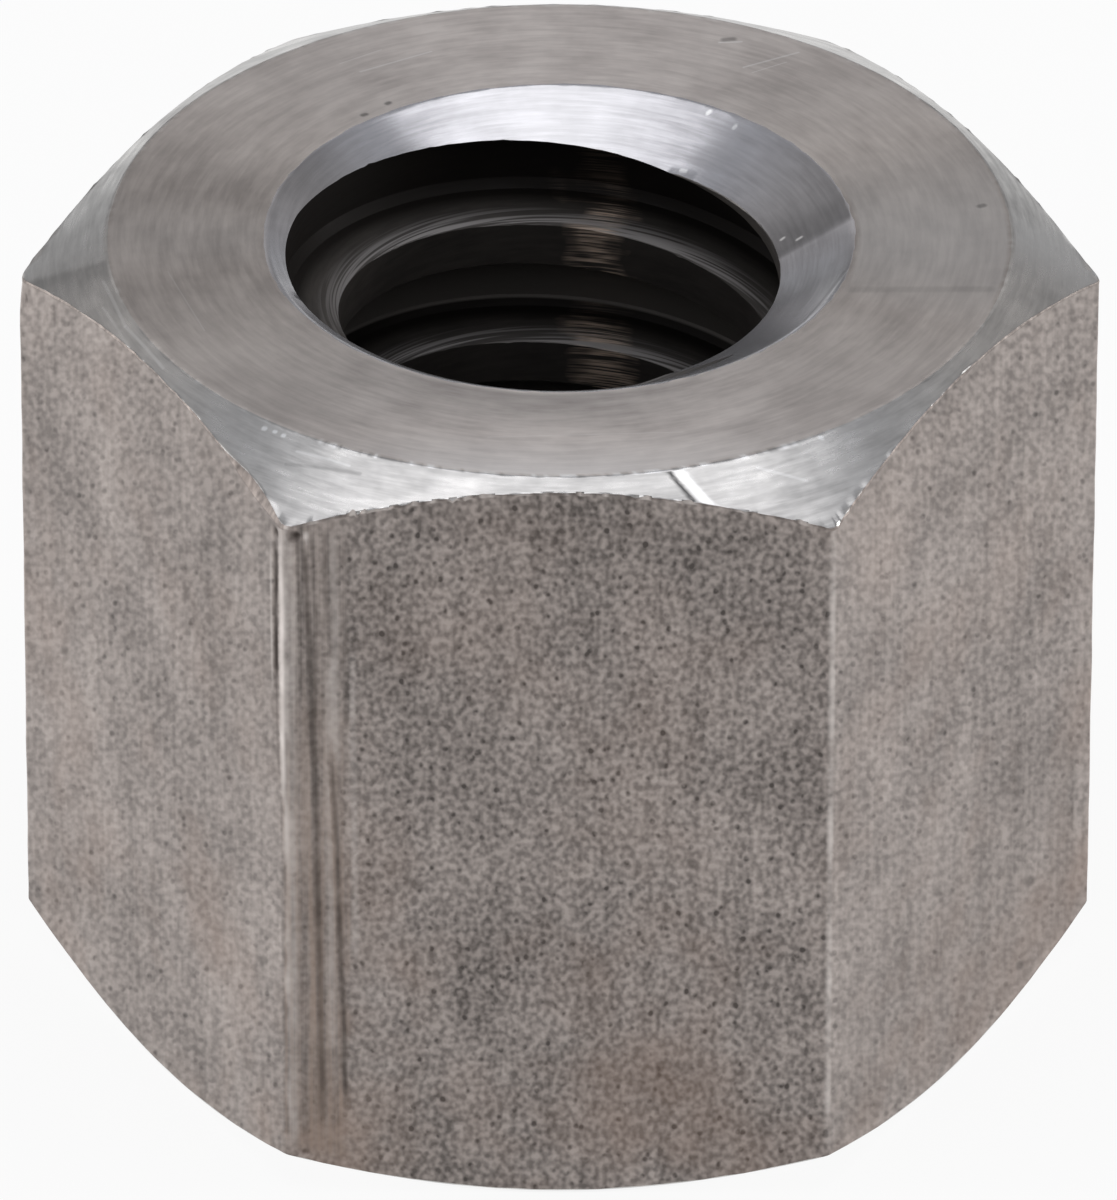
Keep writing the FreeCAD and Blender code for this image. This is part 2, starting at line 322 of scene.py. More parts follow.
def outer_radius(theta, z):
    """Distance from the axis to the hexagon bar's surface, with its corners worn round."""
    theta = np.asarray(theta, float) % 360
    z = np.broadcast_to(np.asarray(z, float), theta.shape)
    flats = HALF_FLATS - LIP
    radius = flats / np.cos(np.radians((theta % 60) - 30))
    corner = flats / math.cos(math.radians(30.0))
    for middle, width in CORNER_WEAR.items():
        turn = np.radians(angle_from(theta, middle))
        uneven = 0.22 * height_noise(z, 1.3, middle + 1) + 0.12 * height_noise(z, 0.35, middle + 2)
        wear = width * (1 + uneven)
        if middle == BLUNT_CORNER:
            wear = wear + BLUNT_WEAR * np.clip((z - BLUNT_FROM) / BLUNT_RUN, 0, 1) ** 2
        tangent = np.arctan(wear * COS_30 / (corner - wear / 2))
        centre = corner - 2 * wear
        inside = np.clip((wear * 2 * COS_30) ** 2 - (centre * np.sin(turn)) ** 2, 0, None)
        rounded = centre * np.cos(turn) + np.sqrt(inside)
        radius = np.where(np.abs(turn) < tangent, np.minimum(radius, rounded), radius)
    return radius


def front_share(theta):
    """Share of the raggedness at this angle: most of it is on the flat in front."""
    around = np.asarray(theta, float) % 360
    return np.interp(around, (0, 178, 186, 238, 241, 299, 302, 352, 360),
                     (0.25, 0.25, 0.55, 0.55, 1.0, 1.0, 0.42, 0.42, 0.25))


def edge_wave(theta):
    """How far the upper edge of the flats is ragged, up or down."""
    wave = 0.040 * rim_noise(theta, 0.40, 6) + 0.034 * rim_noise(theta, 0.18, 7)
    wave = wave * (0.55 + 0.45 * rim_noise(theta, 2.6, 5))
    return (wave - bumps(theta, CHIPS)) * front_share(theta)


def edge_bead(theta):
    """Height of the burr on the upper edge of the flats."""
    bead = 0.18 * np.clip(rim_noise(theta, 0.22, 8) - 0.35, 0, None)
    return (bead + bumps(theta, BURRS)) * sector(theta, FRONT, 29.5, 30.5, 0.22)


def edge_bevel(theta):
    """Width of the bevel between the upper chamfer and the flats.

    It is broad on the left flat, beside the front left corner.
    """
    worn = bump_shape(angle_from(theta, 234.5) / 7.0) * (angle_from(theta, FRONT_LEFT) < 0.6)
    rest = 0.5 + 0.5 * rim_noise(theta, 0.9, 9)
    return EDGE * (0.7 + 0.8 * rest) + 0.17 * worn


def sink_painted_reflection(theta):
    """Painted reflection on the upper countersink, with a dark sector at its right that has a
    sharp end.
    """
    right = np.interp(angle_from(theta, 0), (6, 8, 15, 30, 42), (0.0, 1.0, 0.95, 0.42, 0.0))
    return bumps(theta, SINK_PAINTED_SECTORS) - 0.58 * right


def face_painted_reflection(theta, radius):
    """Painted reflection on the upper face: in front it is darker inside and paler outside."""
    near = bump_shape(angle_from(theta, 268) / 42) * (radius - 10.9) / 1.4
    return bumps(theta, FACE_PAINTED_SECTORS) + 0.24 * near


def chamfer_painted_light(theta, radius):
    """Painted light and shade on the upper chamfer: a slanting band in front painted as a dent's
    highlight, with the painted shade of its step, and a painted reflection edge at the left,
    lighter before it and darker beyond.
    """
    middle = 284.9 + 2.3 * (radius - UPPER_RIM)
    light = np.clip(1.5 * bump_shape(angle_from(theta, middle) / 1.0), 0, 1)
    dark = 0.9 * bump_shape(angle_from(theta, middle - 1.25) / 0.55)
    beyond = angle_from(theta, 180.5) - 1.9 * (CORNER_RADIUS - radius)
    left = np.interp(beyond, (-30, -2, 0, 1, 5, 14), (0.0, 0.12, 0.12, -0.28, -0.17, 0.0))
    return light - dark + left + bumps(theta, CHAMFER_PAINTED_SECTORS)


def ragged_glint_tone(theta, seed):
    """Tone along an edge with painted glints on its burrs and short dark dashes, most of them in
    front.
    """
    fine = rim_noise(theta, 0.16, seed)
    wide = rim_noise(theta, 1.1, seed + 1)
    spots = np.sign(fine) * np.clip(np.abs(fine) - 0.25, 0, None)
    tone = np.clip(1.5 * spots * (0.75 + 0.5 * wide) + 0.08, -0.28, 0.8)
    return tone * sector(theta, FRONT, 29, 32, 0.3)


class Skin:
    """Collects the rings and faces of the nut's one closed mesh."""

    def __init__(self):
        self.points = []
        self.tones = []
        self.scrapes = []
        self.faces = []
        self.zones = []

    def add_points(self, theta, radius, z, tone=0.0, scrape=0.0):
        """Add points by angle, radius and height; give their numbers."""
        theta = np.asarray(theta, float)
        turn = np.radians(theta)
        radius = np.broadcast_to(radius, theta.shape)
        z = np.broadcast_to(z, theta.shape)
        first = len(self.points)
        self.points.extend(zip(radius * np.cos(turn), radius * np.sin(turn), z))
        self.tones.extend(np.broadcast_to(tone, theta.shape))
        self.scrapes.extend(np.broadcast_to(scrape, theta.shape))
        return list(range(first, len(self.points)))

    def add_face(self, corners, zone):
        kept = [c for i, c in enumerate(corners) if c != corners[i - 1]]
        if len(kept) >= 3:
            self.faces.append(kept)
            self.zones.append(zone)

    def join_rings(self, upper, upper_theta, lower, lower_theta, zone):
        """Faces between two closed rings, whose angles run from 0 up to 360."""
        if len(upper) == len(lower):
            for i in range(len(upper)):
                j = (i + 1) % len(upper)
                self.add_face([upper[i], lower[i], lower[j], upper[j]], zone)
            return
        a = b = 0
        upper_ends = list(upper_theta) + [360.0 + upper_theta[0]]
        lower_ends = list(lower_theta) + [360.0 + lower_theta[0]]
        while a < len(upper) or b < len(lower):
            step_upper = b >= len(lower) or (
                a < len(upper) and upper_ends[a + 1] <= lower_ends[b + 1])
            both = (a < len(upper) and b < len(lower)
                    and abs(upper_ends[a + 1] - lower_ends[b + 1]) < 1e-6)
            above, below = upper[a % len(upper)], lower[b % len(lower)]
            next_above, next_below = upper[(a + 1) % len(upper)], lower[(b + 1) % len(lower)]
            if both:
                self.add_face([above, below, next_below, next_above], zone)
                a, b = a + 1, b + 1
            elif step_upper:
                self.add_face([above, below, next_above], zone)
                a += 1
            else:
                self.add_face([above, below, next_below], zone)
                b += 1

    def join_columns(self, left, right, left_section, right_section, zones):
        """Faces between two neighbouring sections of the bore, from the top down."""
        a = b = 0
        while a < len(left) - 1 or b < len(right) - 1:
            can_left, can_right = a < len(left) - 1, b < len(right) - 1
            far = float("inf")
            cross_left = math.dist(left_section[a + 1], right_section[b]) if can_left else far
            cross_right = math.dist(left_section[a], right_section[b + 1]) if can_right else far
            level = far
            if can_left and can_right:
                level = math.dist(left_section[a + 1], right_section[b + 1])
            if level <= min(cross_left, cross_right):
                self.add_face([left[a], left[a + 1], right[b + 1], right[b]], zones[a])
                a, b = a + 1, b + 1
            elif cross_left <= cross_right:
                self.add_face([left[a], left[a + 1], right[b]], zones[a])
                a += 1
            else:
                self.add_face([left[a], right[b + 1], right[b]], zones[min(a, len(zones) - 1)])
                b += 1


def side_angles(front_step, back_step, corner_steps, worn_steps):
    """Angles around the bar: close together at the corners, and at the worn one above all."""
    angles = set()
    for side in range(6):
        spacing = front_step if side >= LEFT_SIDE else back_step
        count = math.ceil(2 * HALF_SIDE / spacing)
        places = list(np.linspace(-HALF_SIDE, HALF_SIDE, count, endpoint=False))
        places += [-HALF_SIDE + s for s in corner_steps] + [HALF_SIDE - s for s in corner_steps]
        if side == FRONT_SIDE:
            places += [-HALF_SIDE + s for s in worn_steps]
        if side == LEFT_SIDE:
            places += [HALF_SIDE - s for s in worn_steps if s < 0.9]
        for place in places:
            angles.add(round(30 + 60 * side + math.degrees(math.atan(place / HALF_FLATS)), 4))
    angles = sorted(a % 360 for a in angles)
    kept = [angles[0]]
    for angle in angles[1:]:
        on_corner = abs(angle - 60 * round(angle / 60)) < 0.001
        if angle - kept[-1] > LEAST_STEP:
            kept.append(angle)
        elif on_corner:
            kept[-1] = angle
    return np.array(kept)


def groove_radius(z, theta):
    """Radius of the threaded wall at this height, before the countersinks are cut.

    Where the groove leaves through the upper countersink, its thin end is dressed away.
    """
    middle = THREAD_START + theta * PITCH / 360
    away = abs((z - middle + PITCH / 2) % PITCH - PITCH / 2)
    radius = float(np.interp(away, GROOVE_HEIGHTS, GROOVE_RADII))
    if z > HEIGHT - CREST_DEPTH:
        radius -= float(np.interp(theta, RUN_OUT_ANGLES, RUN_OUT_FILLING))
    return max(radius, CREST)


def sink_radius(z):
    """Radius of the countersink cones at this height."""
    return max(MOUTH - (HEIGHT - z) / SLOPE, MOUTH - z / SLOPE)


def bore_section(theta, break_width):
    """Half section of the bore from the top down, and the zone of each of its lines."""
    top, bottom = HEIGHT - JOIN_DEPTH, JOIN_DEPTH
    heights = {top, bottom}
    for turn in range(-2, 8):
        middle = THREAD_START + theta * PITCH / 360 + turn * PITCH
        for away in GROOVE_HEIGHTS[1:4]:
            heights.update(z for z in (middle - away, middle + away) if bottom < z < top)
    for z in (HEIGHT - CREST_DEPTH, CREST_DEPTH):
        if groove_radius(z, theta) <= CREST + 1e-6:
            heights.add(z)
    heights = sorted(heights, reverse=True)
    crossings = []
    for upper, lower in zip(heights, heights[1:]):
        above = groove_radius(upper - 1e-7, theta) - sink_radius(upper)
        below = groove_radius(lower + 1e-7, theta) - sink_radius(lower)
        if above * below < 0:
            crossings.append(upper + (lower - upper) * above / (above - below))
    heights = sorted(heights + crossings, reverse=True)
    corners = []
    for z in heights:
        radius = max(groove_radius(z, theta), sink_radius(z))
        if corners and math.dist(corners[-1], (radius, z)) < SHORTEST_LINE:
            continue
        corners.append((radius, z))
    corners = drop_straight(corners)
    return subdivide(break_edges(corners, break_width), LONGEST_LINE)


def drop_straight(corners):
    """Leave out points in the middle of straight lines."""
    kept = [corners[0]]
    for here, after in zip(corners[1:], corners[2:]):
        turn = ((here[0] - kept[-1][0]) * (after[1] - here[1])
                - (here[1] - kept[-1][1]) * (after[0] - here[0]))
        if abs(turn) > 1e-4:
            kept.append(here)
    return kept + [corners[-1]]


def break_edges(corners, width):
    """Bevel each corner that stands out into the bore."""
    broken = [corners[0]]
    for before, here, after in zip(corners, corners[1:], corners[2:]):
        to_before, to_after = math.dist(before, here), math.dist(here, after)
        turn = ((here[0] - before[0]) * (after[1] - here[1])
                - (here[1] - before[1]) * (after[0] - here[0]))
        if turn / (to_before * to_after) < 0.15:
            broken.append(here)
            continue
        for end, length in ((before, to_before), (after, to_after)):
            share = min(width, 0.35 * length) / length
            broken.append((here[0] + (end[0] - here[0]) * share,
                           here[1] + (end[1] - here[1]) * share))
    return broken + [corners[-1]]


def subdivide(corners, longest):
    """Split long lines, and give the zone of each line."""
    points, zones = [corners[0]], []
    for start, end in zip(corners, corners[1:]):
        middle = ((start[0] + end[0]) / 2, (start[1] + end[1]) / 2)
        on_sink = abs(sink_radius(middle[1]) - middle[0]) < 0.003
        pieces = max(1, math.ceil(math.dist(start, end) / longest))
        for piece in range(1, pieces + 1):
            share = piece / pieces
            points.append((start[0] + (end[0] - start[0]) * share,
                           start[1] + (end[1] - start[1]) * share))
            zones.append(SINK if on_sink else THREAD)
    return points, zones


def add_bore(skin):
    """Thread and countersinks below the joining rings; give those two rings."""
    step = 360.0 / BORE_COLUMNS
    thetas = np.arange(BORE_COLUMNS) * step
    widths = 0.020 + 0.012 * rim_noise(thetas, 0.5, 21) + bumps(thetas, BORE_NICKS)
    crisp = np.abs(angle_from(thetas, CRISP_MIDDLE)) < CRISP_HALF
    widths = np.where(crisp, CRISP_BEVEL, widths)
    sections = [bore_section(theta, width) for theta, width in zip(thetas, widths)]
    numbers = []
    for theta, (points, _) in zip(thetas, sections):
        radii, heights = zip(*points)
        tone = sink_painted_reflection(theta) * (np.array(heights) > HEIGHT / 2)
        numbers.append(skin.add_points(np.full(len(points), theta), radii, heights, tone))
    for i in range(BORE_COLUMNS):
        j = (i + 1) % BORE_COLUMNS
        left = [(r, z, 0.0) for r, z in sections[i][0]]
        right = [(r, z, CREST * math.radians(step)) for r, z in sections[j][0]]
        skin.join_columns(numbers[i], numbers[j], left, right, sections[i][1])
    return thetas, [n[0] for n in numbers], [n[-1] for n in numbers]


def add_end(skin, theta_bore, bore_ring, theta_face, theta_edge, upper):
    """Rest of the countersink, the end face and its rim, from the bore outwards."""
    rim = UPPER_RIM if upper else LOWER_RIM
    level = HEIGHT if upper else 0.0
    into = -1 if upper else 1
    dents = np.clip(rim_noise(theta_face, 0.3, 32) - 0.8, 0, 1)
    mouth_break = 0.045 + 0.03 * rim_noise(theta_face, 0.45, 31) + 0.10 * dents
    rim_break = EDGE * (1 + 0.5 * rim_noise(theta_edge, 0.25, 33))
    inner = MOUTH - mouth_break * COS_30
    outer = rim + (rim_break if upper else EDGE) * COS_30
    rings = [
        (theta_face, SINK_RING, level + into * (MOUTH - SINK_RING) * SLOPE, SINK),
        (theta_face, inner, level + into * (MOUTH - inner) * SLOPE, SINK),
        (theta_face, MOUTH + mouth_break, level, SINK),
    ]
    rings += [(theta_face, radius, level, FACE) for radius in FACE_RADII]
    rings += [
        (theta_edge, rim - 0.18, level, FACE),
        (theta_edge, rim - rim_break, level, FACE),
        (theta_edge, outer, level + into * (outer - rim) * SLOPE, CHAMFER),
    ]
    ring_theta, ring = theta_bore, bore_ring
    for number, (theta, radius, z, zone) in enumerate(rings):
        on_rim = number >= len(rings) - 2
        tone = 0.0
        if on_rim:
            tone = ragged_glint_tone(theta_edge, 51)
        elif upper and np.max(radius) < MOUTH:
            tone = sink_painted_reflection(theta)
        elif upper and zone == FACE:
            tone = face_painted_reflection(theta, radius)
        new_ring = skin.add_points(theta, radius, z, tone, 1.0 * on_rim)
        skin.join_rings(ring, ring_theta, new_ring, theta, zone)
        ring_theta, ring = theta, new_ring
    return ring_theta, ring


def add_sides(skin, theta_edge, theta_side, upper_ring, lower_ring, lower_theta):
    """Corner chamfers and flats, from the upper rim down to the lower one."""
    nominal = HEIGHT - (outer_radius(theta_edge, UPPER_LEVEL) - UPPER_RIM) * SLOPE
    edge_height = nominal + edge_wave(theta_edge)
    edge_radius = outer_radius(theta_edge, edge_height)
    ring_theta, ring = theta_edge, upper_ring

    def join(theta, radius, z, zone, tone=0.0, scrape=0.0):
        nonlocal ring_theta, ring
        new_ring = skin.add_points(theta, radius, z, tone, scrape)
        skin.join_rings(ring, ring_theta, new_ring, theta, zone)
        ring_theta, ring = theta, new_ring

    # Upper chamfer
    bevel = edge_bevel(theta_edge)
    room = np.maximum(edge_radius - UPPER_RIM, 0.1)
    radii = [UPPER_RIM + (edge_radius - UPPER_RIM) * share for share in UPPER_CHAMFER_SHARES]
    radii.append(edge_radius - np.minimum(COS_30 * bevel + 0.04, 0.4 * room))
    for radius in radii:
        z = HEIGHT - (radius - UPPER_RIM) * SLOPE
        join(theta_edge, radius, z, CHAMFER, chamfer_painted_light(theta_edge, radius))

    # Bevel with its burr, and the broader lip at the left of the front left corner
    start = edge_radius - np.minimum(COS_30 * bevel, 0.3 * room)
    bead = edge_bead(theta_edge)
    outward = np.minimum(0.8 * bead, 0.85 * LIP)
    on_lip = np.clip((bevel - 2 * EDGE) / 0.1, 0, 1)
    front = sector(theta_edge, FRONT, 29.2, 30.2)
    # Painted glint on the burrs in front; away from the front the bevel's tone is darker
    glint = 5 * bead * front - 0.26 * (1 - front)
    tone = np.clip(ragged_glint_tone(theta_edge, 61) + glint, -0.3, 0.7)
    tone = tone * (1 - on_lip) - 0.30 * on_lip
    bead_top = edge_height + (edge_radius - start) * SLOPE + 0.8 * bead
    join(theta_edge, start + outward, bead_top, CHAMFER, tone, 1.0)
    join(theta_edge, edge_radius + outward, edge_height - bevel + 0.2 * bead, BAR, tone, 1.0)

    # Flats, with close rows below the edge and even ones from there down
    for drop in EDGE_DROPS:
        z = edge_height - bevel - drop
        tone, depth, scraped = streak_and_light_cover(theta_edge, z)
        keep = outward * max(0.0, 0.6 - drop * 3)
        join(theta_edge, outer_radius(theta_edge, z) - depth + keep, z, BAR, tone, scraped)
    top = HEIGHT - (outer_radius(theta_side, UPPER_LEVEL) - UPPER_RIM) * SLOPE - 0.75
    side = outer_radius(theta_side, LOWER_LEVEL)
    lower_edge = (side - LOWER_RIM) * SLOPE
    bottom = lower_edge + 0.5
    for row in range(SIDE_ROWS + 1):
        z = top + (bottom - top) * row / SIDE_ROWS
        tone, depth, scraped = streak_and_light_cover(theta_side, z)
        join(theta_side, outer_radius(theta_side, z) - depth, z, BAR, tone, scraped)

    # Lower edge and chamfer
    ragged = lower_edge + 0.02 * rim_noise(theta_side, 0.4, 41)
    for rise in LOWER_RISES:
        join(theta_side, outer_radius(theta_side, ragged + rise), ragged + rise, BAR)
    for share in LOWER_CHAMFER_SHARES:
        radius = LOWER_RIM + (side - LOWER_RIM) * share
        join(theta_side, radius, (radius - LOWER_RIM) * SLOPE, CHAMFER)
    skin.join_rings(ring, ring_theta, lower_ring, lower_theta, CHAMFER)


def build_nut():
    """The whole nut as one closed mesh."""
    corner_steps = (0.0, 0.04, 0.08, 0.12, 0.16, 0.21, 0.28, 0.4)
    worn_steps = np.arange(0, 2.4, 0.055)
    theta_edge = side_angles(0.12, 0.2, corner_steps, worn_steps)
    theta_side = side_angles(0.6, 0.8, corner_steps, worn_steps)
    theta_face = np.arange(FACE_COLUMNS) * 360 / FACE_COLUMNS
    skin = Skin()
    theta_bore, upper_bore, lower_bore = add_bore(skin)
    upper_theta, upper_ring = add_end(skin, theta_bore, upper_bore, theta_face, theta_edge, True)
    lower_theta, lower_ring = add_end(skin, theta_bore, lower_bore, theta_face, theta_side, False)
    add_sides(skin, theta_edge, theta_side, upper_ring, lower_ring, lower_theta)

    mesh = bpy.data.meshes.new("hex_nut")
    points = np.array(skin.points) * MM
    mesh.from_pydata(points.tolist(), [], skin.faces)
    mesh.polygons.foreach_set("material_index", skin.zones)
    for name, values in (("tone", skin.tones), ("scraped", skin.scrapes)):
        attribute = mesh.attributes.new(name, "FLOAT", "POINT")
        attribute.data.foreach_set("value", np.array(values, np.float32))
    shape = bmesh.new()
    shape.from_mesh(mesh)
    bmesh.ops.dissolve_degenerate(shape, dist=1e-7, edges=shape.edges)
    bmesh.ops.recalc_face_normals(shape, faces=shape.faces)
    shape.to_mesh(mesh)
    open_edges = sum(1 for edge in shape.edges if len(edge.link_faces) != 2)
    shape.free()
    print("nut mesh:", len(mesh.polygons), "faces,", open_edges, "open edges")
    for polygon in mesh.polygons:
        polygon.use_smooth = True
    mesh.set_sharp_from_angle(angle=math.radians(SHARP_ANGLE))
    nut = bpy.data.objects.new("hex_nut", mesh)
    bpy.context.scene.collection.objects.link(nut)
    return nut


class Shader:
    """Adds nodes to one material."""

    def __init__(self, name):
        self.material = bpy.data.materials.new(name)
        self.material.use_nodes = True
        self.tree = self.material.node_tree
        self.bsdf = self.tree.nodes["Principled BSDF"]
        self.place = self.node("ShaderNodeTexCoord").outputs["Object"]

    def node(self, kind, inputs=None, **settings):
        node = self.tree.nodes.new(kind)
        for name, value in settings.items():
            setattr(node, name, value)
        for name, value in (inputs or {}).items():
            self.set(node.inputs[name], value)
        return node

    def set(self, socket, value):
        if isinstance(value, bpy.types.NodeSocket):
            self.tree.links.new(value, socket)
        else:
            socket.default_value = value

    def math(self, operation, *values):
        node = self.node("ShaderNodeMath", operation=operation)
        for socket, value in zip(node.inputs, values):
            self.set(socket, value)
        return node.outputs[0]

    def vector(self, operation, *values):
        node = self.node("ShaderNodeVectorMath", operation=operation)
        for socket, value in zip(node.inputs, values):
            self.set(socket, value)
        return node.outputs["Value" if operation in ("LENGTH", "DOT_PRODUCT") else "Vector"]

    def noise(self, coordinates, scale, detail=2.0, roughness=0.5):
        node = self.node("ShaderNodeTexNoise", {
            "Vector": coordinates, "Scale": scale, "Detail": detail, "Roughness": roughness})
        return node.outputs["Fac"]

    def cells(self, coordinates, scale):
        """Distance from the nearest of many scattered points."""
        node = self.node("ShaderNodeTexVoronoi", {"Vector": coordinates, "Scale": scale})
        return node.outputs["Distance"]

    def stretch(self, x, y, z):
        return self.vector("MULTIPLY", self.place, (x, y, z))

    def remap(self, value, low, high, new_low=0.0, new_high=1.0):
        node = self.node("ShaderNodeMapRange", {
            "Value": value, "From Min": low, "From Max": high,
            "To Min": new_low, "To Max": new_high})
        return node.outputs["Result"]

    def mix(self, share, low, high):
        node = self.node("ShaderNodeMix", data_type="RGBA")
        self.set(node.inputs[0], share)
        self.set(node.inputs[6], low)
        self.set(node.inputs[7], high)
        return node.outputs[2]

    def attribute(self, name):
        return self.node("ShaderNodeAttribute", attribute_name=name).outputs["Fac"]

    def polar(self, around, across):
        """Coordinates that follow circles about the axis: slow along them, fast across."""
        flat = self.vector("MULTIPLY", self.place, (1, 1, 0))
        radius = self.vector("LENGTH", flat)
        unit = self.vector("NORMALIZE", flat)
        turned = self.vector("MULTIPLY", unit, (around, around, 0))
        parts = self.node("ShaderNodeSeparateXYZ", {0: turned})
        height = self.node("ShaderNodeSeparateXYZ", {0: self.place}).outputs["Z"]
        slanted = self.math("ADD", radius, height)
        joined = self.node("ShaderNodeCombineXYZ", {
            "X": parts.outputs["X"], "Y": parts.outputs["Y"],
            "Z": self.times(slanted, across)})
        return joined.outputs[0]

    def scratch(self, start, end, half_width):
        """1 on a straight mark between two points in millimetres, seen along the axis."""
        run = Vector(end) - Vector(start)
        length, unit = run.length * MM, run.normalized()
        away = self.vector("SUBTRACT", self.place, (start[0] * MM, start[1] * MM, 0))
        away = self.vector("MULTIPLY", away, (1, 1, 0))
        along = self.vector("DOT_PRODUCT", away, (unit.x, unit.y, 0))
        along = self.math("MINIMUM", self.math("MAXIMUM", along, 0.0), length)
        parts = self.node("ShaderNodeCombineXYZ", {
            "X": self.times(along, unit.x), "Y": self.times(along, unit.y)})
        distance = self.vector("LENGTH", self.vector("SUBTRACT", away, parts.outputs[0]))
        return self.remap(distance, 0.35 * half_width * MM, half_width * MM, 1.0, 0.0)

    def bump(self, height, distance, strength):
        """Relief of this depth in metres, as the shader's normal."""
        bump = self.node("ShaderNodeBump", {
            "Height": height, "Distance": distance, "Strength": strength})
        self.set(self.bsdf.inputs["Normal"], bump.outputs["Normal"])

    def times(self, first, second):
        return self.math("MULTIPLY", first, second)

    def toned(self, colour, light, dark):
        """The colour, drawn towards light or dark by the mesh's tone."""
        tone = self.attribute("tone")
        colour = self.mix(self.math("MAXIMUM", tone, 0.0), colour, light)
        return self.mix(self.times(self.math("MINIMUM", tone, 0.0), -1.0), colour, dark)

    def brush(self, share):
        """Fine grooves that run round the axis."""
        self.bsdf.inputs["Anisotropic"].default_value = share
        self.bsdf.inputs["Anisotropic Rotation"].default_value = 0.25
        tangent = self.node("ShaderNodeTangent", direction_type="RADIAL", axis="Z")
        self.set(self.bsdf.inputs["Tangent"], tangent.outputs[0])


# Colours of scratches and burrs on turned steel, and of its painted light and shade
BRIGHT_MARKS_AND_LIGHT = (0.90, 0.90, 0.90, 1)
DARK_MARKS_AND_SHADE = (0.06, 0.06, 0.06, 1)

# Colours of the drawn bar
BAR_DARK = (0.095, 0.083, 0.077, 1)
BAR_LIGHT = (0.460, 0.408, 0.380, 1)
BAR_BROWN = (0.25, 0.170, 0.130, 1)
BAR_STAIN = (0.31, 0.215, 0.165, 1)
BAR_HOLE = (0.070, 0.058, 0.052, 1)
BAR_RUBBED = (0.30, 0.225, 0.180, 1)
BAR_BRIGHT = (0.70, 0.65, 0.62, 1)
BAR_BLACK = (0.040, 0.030, 0.025, 1)
STAIN_PLACE = (-0.0066, -0.0135, 0.0012)

# Colours of the thread
THREAD_DARK = (0.040, 0.037, 0.035, 1)
THREAD_LIGHT = (0.080, 0.073, 0.067, 1)
THREAD_PAINTED_REFLECTION = (0.72, 0.57, 0.46, 1)
THREAD_PAINTED_SHADE = (0.014, 0.012, 0.011, 1)
THREAD_ROOT_PAINTED_LIGHT = (0.20, 0.19, 0.18, 1)
THREAD_FLANK_HIGHLIGHT = (0.37, 0.355, 0.35, 1)


def bar_material():
    """Dull drawn bar: speckled, pitted, faintly streaked along its length."""
    s = Shader("drawn_bar")
    scraped = s.attribute("scraped")
    height = s.node("ShaderNodeSeparateXYZ", {0: s.place}).outputs["Z"]
    normal = s.node("ShaderNodeTexCoord").outputs["Normal"]
    facing = s.node("ShaderNodeSeparateXYZ", {0: normal}).outputs["X"]

    # Slanted coordinates, in which the grain looks even from above
    skewed = s.node("ShaderNodeCombineXYZ", {
        "X": s.vector("DOT_PRODUCT", s.place, (1.22, 0, 0)),
        "Y": s.vector("DOT_PRODUCT", s.place, (0, 0.2, 0)),
        "Z": s.vector("DOT_PRODUCT", s.place, (0, 0.6, 1))}).outputs[0]
    speckle = s.noise(skewed, 4900.0, 0.7, 0.45)
    coarse = s.noise(skewed, 1900.0, 1.0, 0.5)
    blotch = s.noise(s.place, 330.0, 3.0, 0.6)
    patch = s.noise(s.place, 110.0, 2.0, 0.5)
    streak = s.noise(s.stretch(1, 1, 0.03), 1500.0, 2.0, 0.5)
    brushed = s.noise(s.stretch(1, 1, 0.06), 3400.0, 1.0, 0.5)
    scratches = s.noise(s.stretch(1, 1, 0.02), 4600.0, 2.0, 0.6)

    # Grain: speckle and pits, weaker on the side flats and on the scraped strip
    pits = s.cells(skewed, 2500.0)
    pits = s.times(s.remap(pits, 0.14, 0.32, 1.0, 0.0), s.remap(coarse, 0.42, 0.56))
    grain = s.math("SUBTRACT", s.remap(speckle, 0.30, 0.70, -0.5, 0.5), s.times(pits, 0.78))
    grain = s.times(grain, s.math("SUBTRACT", 1.0, s.times(scraped, 0.45)))
    grain = s.times(grain, s.remap(s.math("ABSOLUTE", facing), 0.3, 0.7, 1.0, 0.62))
    value = s.math("ADD", 0.53, s.times(grain, 0.56))
    layers = ((coarse, 0.08), (blotch, 0.27), (patch, 0.15), (streak, 0.09), (brushed, 0.11))
    for layer, share in layers:
        value = s.math("ADD", value, s.times(s.remap(layer, 0.3, 0.7, -0.5, 0.5), share))
    value = s.math("ADD", value, s.times(s.remap(scratches, 0.3, 0.7, -0.20, 0.20), scraped))

    colour = s.mix(value, BAR_DARK, BAR_LIGHT)
    brown = s.remap(s.noise(s.place, 210.0, 3.0, 0.6), 0.45, 0.72, 0.0, 0.38)
    colour = s.mix(s.times(brown, s.remap(height, 0.022, 0.004, 0.35, 1.0)), colour, BAR_BROWN)
    stain = s.vector("LENGTH", s.vector("SUBTRACT", s.place, STAIN_PLACE))
    stain = s.times(s.remap(stain, 0.0010, 0.0034, 0.45, 0.0), s.remap(blotch, 0.35, 0.6))
    colour = s.mix(stain, colour, BAR_STAIN)
    holes = s.remap(s.cells(skewed, 800.0), 0.07, 0.17, 0.55, 0.0)
    colour = s.mix(s.times(holes, s.remap(patch, 0.52, 0.60)), colour, BAR_HOLE)
    rubbed = s.times(scraped, s.remap(height, 0.018, 0.009, 0.10, 0.60))
    rubbed = s.times(rubbed, s.remap(scratches, 0.40, 0.60, 0.2, 1.0))
    colour = s.mix(rubbed, colour, BAR_RUBBED)
    s.set(s.bsdf.inputs["Base Color"], s.toned(colour, BAR_BRIGHT, BAR_BLACK))
    s.bsdf.inputs["Metallic"].default_value = 0.75
    s.set(s.bsdf.inputs["Roughness"], s.remap(value, 0.0, 1.0, 0.66, 0.52))
    s.bump(grain, 0.000010, 0.8)
    return s.material


